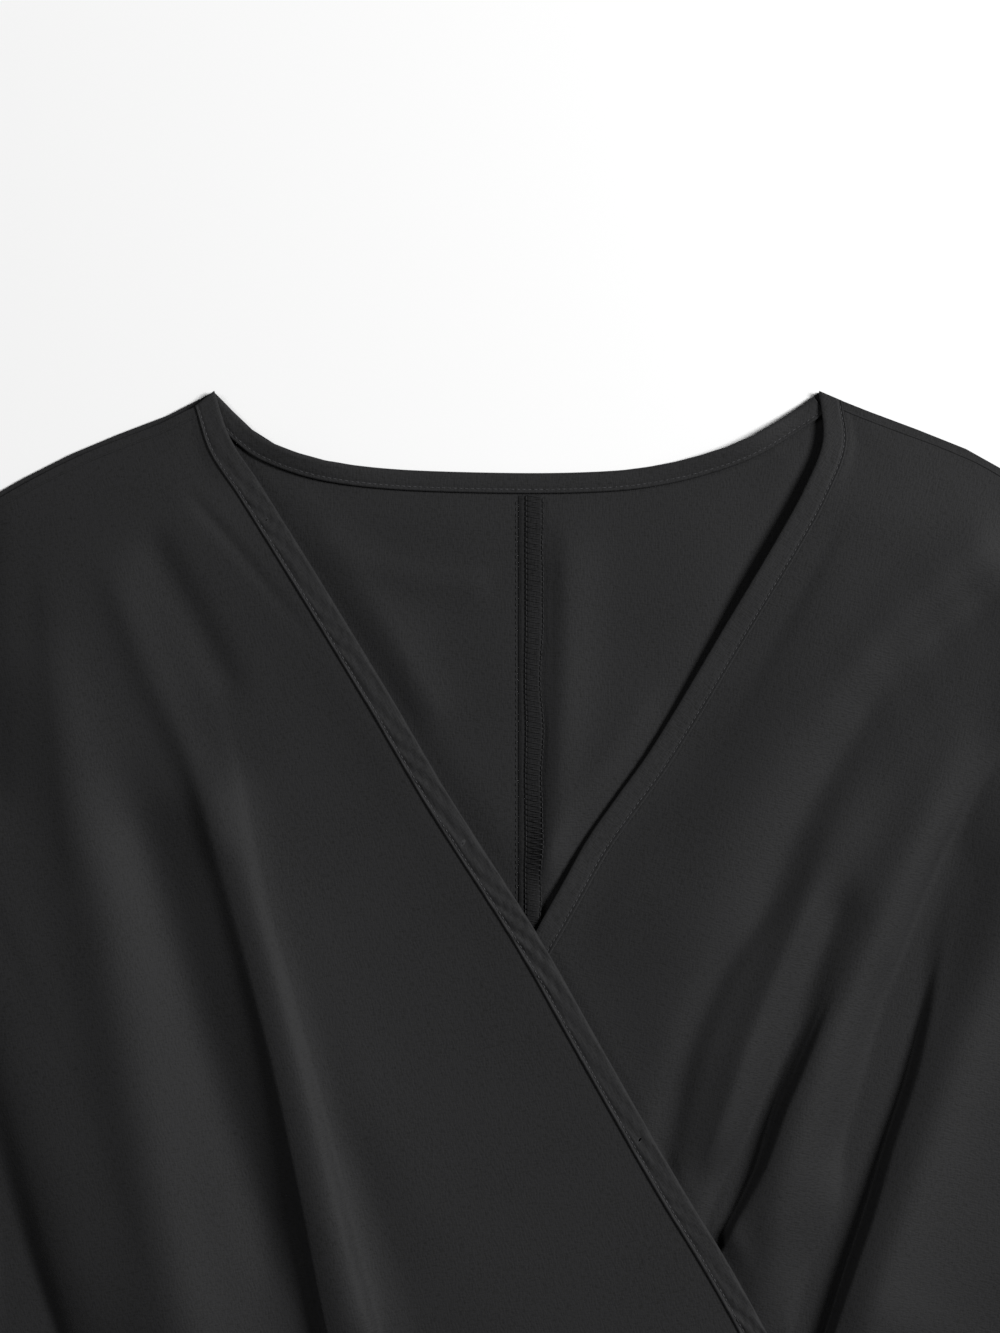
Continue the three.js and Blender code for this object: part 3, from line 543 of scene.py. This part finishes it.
def strip_forms(name, section):
    """Rings of a strip's section along a neckline edge, with its puckers."""
    strip = smoother(panel_grids[name][:3], STRIP_STEPS)[:STRIP_STEPS + 1]
    strip = smoother(strip.swapaxes(0, 1), STRIP_STEPS_ALONG)
    run = run_along(strip[:, 0])
    tall, pitch = PUCKERS[name]
    drift = wander(run, PUCKER_DRIFT_LONG, (0.3, 5.0))
    strength = WEAKEST_PUCKER + (1 - WEAKEST_PUCKER) * ease(*WEAK_RANGE, wander(run, WEAK_LONG, (2.0, 1.0)))
    rings = []
    for inwards, up in section:
        share = inwards / BINDING_WIDE * STRIP_STEPS
        k = max(math.floor(share), 0)
        ring = strip[:, k] + (strip[:, k + 1] - strip[:, k]) * (share - k)
        turn = 2 * math.pi * (run + PUCKER_SLANT * inwards) / pitch
        first, second = (count * turn + far * drift for count, far in zip((1, 2), PUCKER_DRIFTS))
        wave = np.sin(first) + SECOND_PUCKER * np.sin(second)
        middle = math.sin(math.pi * ((inwards + PUCKERED_FROM) / PUCKERED_WIDE))
        puckered = (up > PUCKERED_ABOVE) * tall * strength * wave * middle * ease(0, PUCKERS_START, run)
        ring[:, 2] += up + puckered
        rings.append(ring)
    return np.stack(rings, axis=1)


def lay_stitches(name, spans, radius, material, slot):
    """One joined piece of thread: a slim spindle for each stitch, from its start to its end."""
    bm = bmesh.new()
    for start, end in spans:
        start, end = Vector(start) * MM, Vector(end) * MM
        reach = end - start
        turn = reach.to_track_quat("Z", "Y").to_matrix().to_4x4()
        slim = Matrix.Diagonal((radius * MM, radius * MM, reach.length / 2, 1))
        bmesh.ops.create_uvsphere(bm, u_segments=6, v_segments=4, radius=1,
                                  matrix=Matrix.Translation((start + end) / 2) @ turn @ slim)
    piece = new_piece(name, bm)
    lay_grain(piece, 0)
    finish_cloth(piece, 0, material, slot)


def stitch_spans(line, pitch, long):
    """The start and end of each stitch along a line of places."""
    run = run_along(line)
    starts = np.arange(pitch, run[-1] - pitch, pitch)
    ends = [np.stack([np.interp(at, run, line[:, k]) for k in range(3)], axis=1)
            for at in (starts, starts + long)]
    return list(zip(*ends))


# The same crepe cut on the slant, folded and pressed flat. Its colour is painted a shade lighter than the
# panels', a painted sheen of the pressed surface
binding_crepe_painted_sheen = crepe("folded_crepe_binding", "#151515", "#212122", roughness=0.7, sheen=0.05, bump=0.5)
# Black core-spun sewing thread, smoother than the cloth, so that each stitch catches a little light; its
# colour is also painted lighter than the cloth's, a painted glint on each stitch
thread = crepe("black_sewing_thread", "#161616", "#444446", roughness=0.45, sheen=0.0, bump=0.3)
STITCH_AT = 7.85
STITCH_UP = 0.5
STITCH_PITCH, STITCH_LONG = 2.3, 1.75
STITCH_RADIUS = 0.2
for name in ("right", "left"):
    piece = grid_piece(f"binding_front_{name}", strip_forms(name, STRIP_SECTION), closed=True)
    lay_grain(piece, STRIP_GRAIN[name])
    finish_cloth(piece, 0, binding_crepe_painted_sheen, "binding", f"neck_binding_{name}")
    line = strip_forms(name, [(STITCH_AT, STITCH_UP)])[:, 0]
    spans = stitch_spans(line, STITCH_PITCH, STITCH_LONG)
    lay_stitches(f"stitches_binding_{name}", spans, STITCH_RADIUS, thread, "binding")

# Back neck binding. It is the same folded strip of crepe, narrower, turned to the inside of the back neck and
# stitched down near its lower edge, so it stands up from the backs with a dent along the stitches.
BACK_SECTION = [
    (0.2, 0.3), (0, 0.7), (0.4, 1.15), (2, 1.25), (4.2, 1.2), (6, 1.2), (6.6, 1.0), (7.2, 1.25), (7.8, 1.35),
    (8.15, 1.05), (8.2, 0.3), (4.2, 0.3), (0.2, 0.3),
]
NECK_STEPS = 16
NECK_ENDS = 6
BACK_STITCH_AT, BACK_STITCH_UP = 6.6, 1.08
neck_edge = smoother(BACK_NECK, NECK_STEPS)[NECK_ENDS:-NECK_ENDS]
heading = headings(neck_edge)
inward = np.column_stack([-heading[:, 1], heading[:, 0]])


def back_strip_line(inwards, up):
    """Places along the back neck, a set distance in from its edge and up from the back."""
    at = neck_edge + inward * inwards
    lift = neck_lift(at[:, 0]) * (1 - inwards / NECK_STANDS_DEEP)
    return np.column_stack([at[:, 0], SHOULDER_Y - at[:, 1], BACK_TOP + up + lift])


rings = [back_strip_line(inwards, up) for inwards, up in BACK_SECTION]
piece = grid_piece("binding_back", np.stack(rings, axis=1), closed=True)
lay_grain(piece, 90)
finish_cloth(piece, 0, binding_crepe_painted_sheen, "binding", "neck_binding_back")
spans = stitch_spans(back_strip_line(BACK_STITCH_AT, BACK_STITCH_UP), STITCH_PITCH, STITCH_LONG)
lay_stitches("stitches_binding_back", spans, STITCH_RADIUS, thread, "binding")

# Centre back seam. The two backs' raw edges are overlocked together and pressed towards the wearer's left, so
# a soft fold stands beside the seam line and the thread zigzags over the outer two thirds.
SEAM_TOP, SEAM_END, SEAM_STEP = 41.6, 236, 1.2
SEAM_SECTION = [
    (0.1, 0.0), (0.6, 0.2), (1.4, 0.5), (2.2, 0.62), (3.0, 0.42), (3.5, 0.75), (4.6, 1.0), (6.4, 1.1),
    (8.2, 1.2), (9.3, 1.35), (9.75, 1.15), (9.6, 0.8), (6.4, 0.5), (3.3, 0.1), (0.1, 0.0),
]

# The stretched edge waves from side to side and up and down, more the further out it is
SEAM_WIDE = 10
EDGE_WAVE, EDGE_WAVE_LONG = 1.3, 16
EDGE_LIFT, EDGE_LIFT_LONG, EDGE_LIFT_BASE = 0.9, 22, 0.4
LYING_UP_TO = 0.05
seam_drops = np.arange(SEAM_TOP, SEAM_END, SEAM_STEP)


def seam_ring(out, up, drops):
    """Places at one distance from the seam line, with the waves of a stretched edge."""
    wave = wander(drops, EDGE_WAVE_LONG, (0.4, 2.2))
    lift = wander(drops, EDGE_LIFT_LONG, (3.4, 0.2))
    share = max(out, 0) / SEAM_WIDE
    x = out + EDGE_WAVE * wave * share
    floor_height = back_heights(np.column_stack([x, drops]))
    lifted = EDGE_LIFT * (lift + EDGE_LIFT_BASE) * share * (up > LYING_UP_TO)
    return np.column_stack([x, SHOULDER_Y - drops, floor_height + up + lifted])


# The raw edges of the crepe, held flat under the overlocking, so they are a little rougher; their colour is
# painted a little darker, painted shade under the overlock threads
seam_crepe_painted_shade = crepe("overlocked_crepe_edge", "#0f0f0f", "#1c1c1d", roughness=0.8, sheen=0.04, bump=0.7)
# Black textured polyester overlock thread, soft and hairy, so it is duller than the sewing thread
overlock_thread = crepe("black_overlock_thread", "#0d0d0d", "#242425", roughness=0.65, sheen=0.0, bump=0.3)
rings = [seam_ring(out, up, seam_drops) for out, up in SEAM_SECTION]
piece = grid_piece("seam_centre_back", np.stack(rings, axis=1), closed=True)
lay_grain(piece, 0)
finish_cloth(piece, 0, seam_crepe_painted_shade, "seam_edge", "centre_back_seam")

# The overlock's needle line and its looped edge (out, up), one loop in each pitch, then the seam's stitches
OVERLOCK_PITCH, OVERLOCK_RADIUS, OVERLOCK_STOPS = 2.1, 0.26, 3
NEEDLE_LINE, LOOPS_OVER, LOOPS_UNDER = (3.4, 0.92), (9.9, 1.4), (9.9, 1.0)
SEAM_LINE = (-0.5, 0.12)
SEAM_PITCH, SEAM_LONG, SEAM_RADIUS = 2.4, 1.5, 0.22
drops = np.arange(SEAM_TOP, SEAM_END - OVERLOCK_STOPS, OVERLOCK_PITCH)
inner = seam_ring(*NEEDLE_LINE, drops)
outer, edge_low = (seam_ring(*loops, drops + OVERLOCK_PITCH * 0.5) for loops in (LOOPS_OVER, LOOPS_UNDER))
spans = list(zip(inner, outer)) + list(zip(outer[:-1], inner[1:])) + list(zip(outer[:-1], edge_low[1:]))
spans += [pair for side in (inner, outer) for pair in zip(side[:-1], side[1:])]
lay_stitches("overlock_centre_back", spans, OVERLOCK_RADIUS, overlock_thread, "seam_edge")
spans = stitch_spans(seam_ring(*SEAM_LINE, seam_drops), SEAM_PITCH, SEAM_LONG)
lay_stitches("stitches_centre_back", spans, SEAM_RADIUS, overlock_thread, "seam_edge")

# Hems. The cuffs, the skirt's hem and its free front edges are turned under and stitched a little way in with
# the sewing thread, which shows as a row of longer stitches. Of the rows that run across a front,
# the ones next to its shoulder end at its cuff.
HEM_WIDE = 16
FREE_EDGE_WIDE = 9
HEM_PITCH, HEM_LONG = 3.2, 2.4
HEM_RADIUS = 0.22
HEM_UP = 0.05
CUFF_ROWS = 36


def inset_line(lines, inset):
    """The places a set distance in from the last place of each line."""
    places = []
    for line in lines[:, ::-1]:
        run = run_along(line)
        places.append([np.interp(inset, run, line[:, k]) for k in range(3)])
    return np.array(places) + (0, 0, HEM_UP)


for name in ("right", "left"):
    cuff = inset_line(front_forms[name].swapaxes(0, 1)[:CUFF_ROWS], HEM_WIDE)
    hem = inset_line(skirt_forms[name], HEM_WIDE)
    edge = inset_line(skirt_forms[name].swapaxes(0, 1)[:, ::-1], FREE_EDGE_WIDE)
    spans = [span for line in (cuff, hem, edge) for span in stitch_spans(line, HEM_PITCH, HEM_LONG)]
    lay_stitches(f"stitches_hems_{name}", spans, HEM_RADIUS, thread, "crepe")

# Tie. A folded and pressed strip of the crepe is sewn into each side seam. The strips meet in a half knot at
# the right front's edge, with two ends hanging from it. Faces that turn by less than the first angle, in
# radians, are joined, and folds that turn by more than the second keep their crease.
TIE_FACE_ANGLE = 0.5
TIE_FOLD_ANGLE = 0.9
TIE_FOLD_CREASE = 0.85
TIE_LEVELS = 2
# The same crepe, pressed hard in four layers, so it lies flat with soft edges and is as dull as the panels
tie_crepe = crepe("pressed_crepe_tie", "#141414", "#202021", roughness=0.7, sheen=0.05, bump=0.5)
for node in ("tie_band_right", "tie_band_left", "tie_knot", "tie_end_long", "tie_end_short"):
    bm = merged_copy(node)
    bmesh.ops.join_triangles(bm, faces=bm.faces, angle_face_threshold=TIE_FACE_ANGLE,
                             angle_shape_threshold=math.pi)
    bm.normal_update()
    sharp = bm.edges.layers.float.new("crease_edge")
    for edge in bm.edges:
        if len(edge.link_faces) == 2 and edge.calc_face_angle(0) > TIE_FOLD_ANGLE:
            edge[sharp] = TIE_FOLD_CREASE
    piece = new_piece(f"cloth_{node}", bm)
    rounded = piece.modifiers.new("finer", "SUBSURF")
    rounded.levels = rounded.render_levels = TIE_LEVELS
    smoothed = bpy.data.meshes.new_from_object(piece.evaluated_get(bpy.context.evaluated_depsgraph_get()))
    piece.modifiers.clear()
    piece.data = smoothed
    lay_grain(piece, 90 if "band" in node else 0)
    finish_cloth(piece, 0, tie_crepe, "tie", node)

# Stage. A white table, a low soft box at the right and a weaker one at the left, and a camera that looks
# straight down at the neckline with the photo's framing. The table and the lights are in metres.
TABLE_HALF = 6
TABLE_TOP = -0.0002
bm = bmesh.new()
bmesh.ops.create_grid(bm, x_segments=1, y_segments=1, size=TABLE_HALF,
                      matrix=Matrix.Translation((0, 0, TABLE_TOP)))
floor = new_piece("floor", bm)
# Matt white paint, which gives a plain bright ground and a soft shadow
table_paint = bpy.data.materials.new("white_table")
table_paint.use_nodes = True
table_paint.node_tree.nodes["Principled BSDF"].inputs["Base Color"].default_value = linear("#fafafa")
table_paint.node_tree.nodes["Principled BSDF"].inputs["Roughness"].default_value = 0.9
floor.data.materials.append(table_paint)


def soft_light(name, place, target, size, power):
    """A round soft box turned to a target, with its power in watts."""
    lamp = bpy.data.lights.new(name, "AREA")
    lamp.shape = "DISK"
    lamp.size = size
    lamp.energy = power
    holder = bpy.data.objects.new(name, lamp)
    holder.location = place
    holder.rotation_euler = (Vector(target) - Vector(place)).to_track_quat("-Z", "Y").to_euler()
    bpy.context.scene.collection.objects.link(holder)


soft_light("softbox_right", (2.6, 1.1, 2.2), target=(0, 0.25, 0), size=1.2, power=158)
soft_light("softbox_left", (-2.5, 1.7, 2.1), target=(0, 0.25, 0), size=1.3, power=25)
world = bpy.data.worlds.new("studio")
world.use_nodes = True
world.node_tree.nodes["Background"].inputs["Color"].default_value = (1, 1, 1, 1)
world.node_tree.nodes["Background"].inputs["Strength"].default_value = 0.072
bpy.context.scene.world = world
bpy.context.scene.view_settings.view_transform = "Standard"

PHOTO_WIDE, PHOTO_TALL = 1000, 1333
MM_PER_PIXEL = 0.4
CENTRE_BACK_PIXEL = 517.5
SHOULDER_PIXEL = 391
LENS, SENSOR_WIDE = 85, 36
SHARP_HEIGHT = 5
camera = bpy.data.objects.new("camera", bpy.data.cameras.new("camera"))
camera.data.lens = LENS
camera.data.sensor_width = SENSOR_WIDE
camera.location = (
    (PHOTO_WIDE / 2 - CENTRE_BACK_PIXEL) * MM_PER_PIXEL * MM,
    (SHOULDER_Y - (PHOTO_TALL / 2 - SHOULDER_PIXEL) * MM_PER_PIXEL) * MM,
    PHOTO_TALL * MM_PER_PIXEL * MM * LENS / SENSOR_WIDE + SHARP_HEIGHT * MM,
)
bpy.context.scene.collection.objects.link(camera)
bpy.context.scene.camera = camera
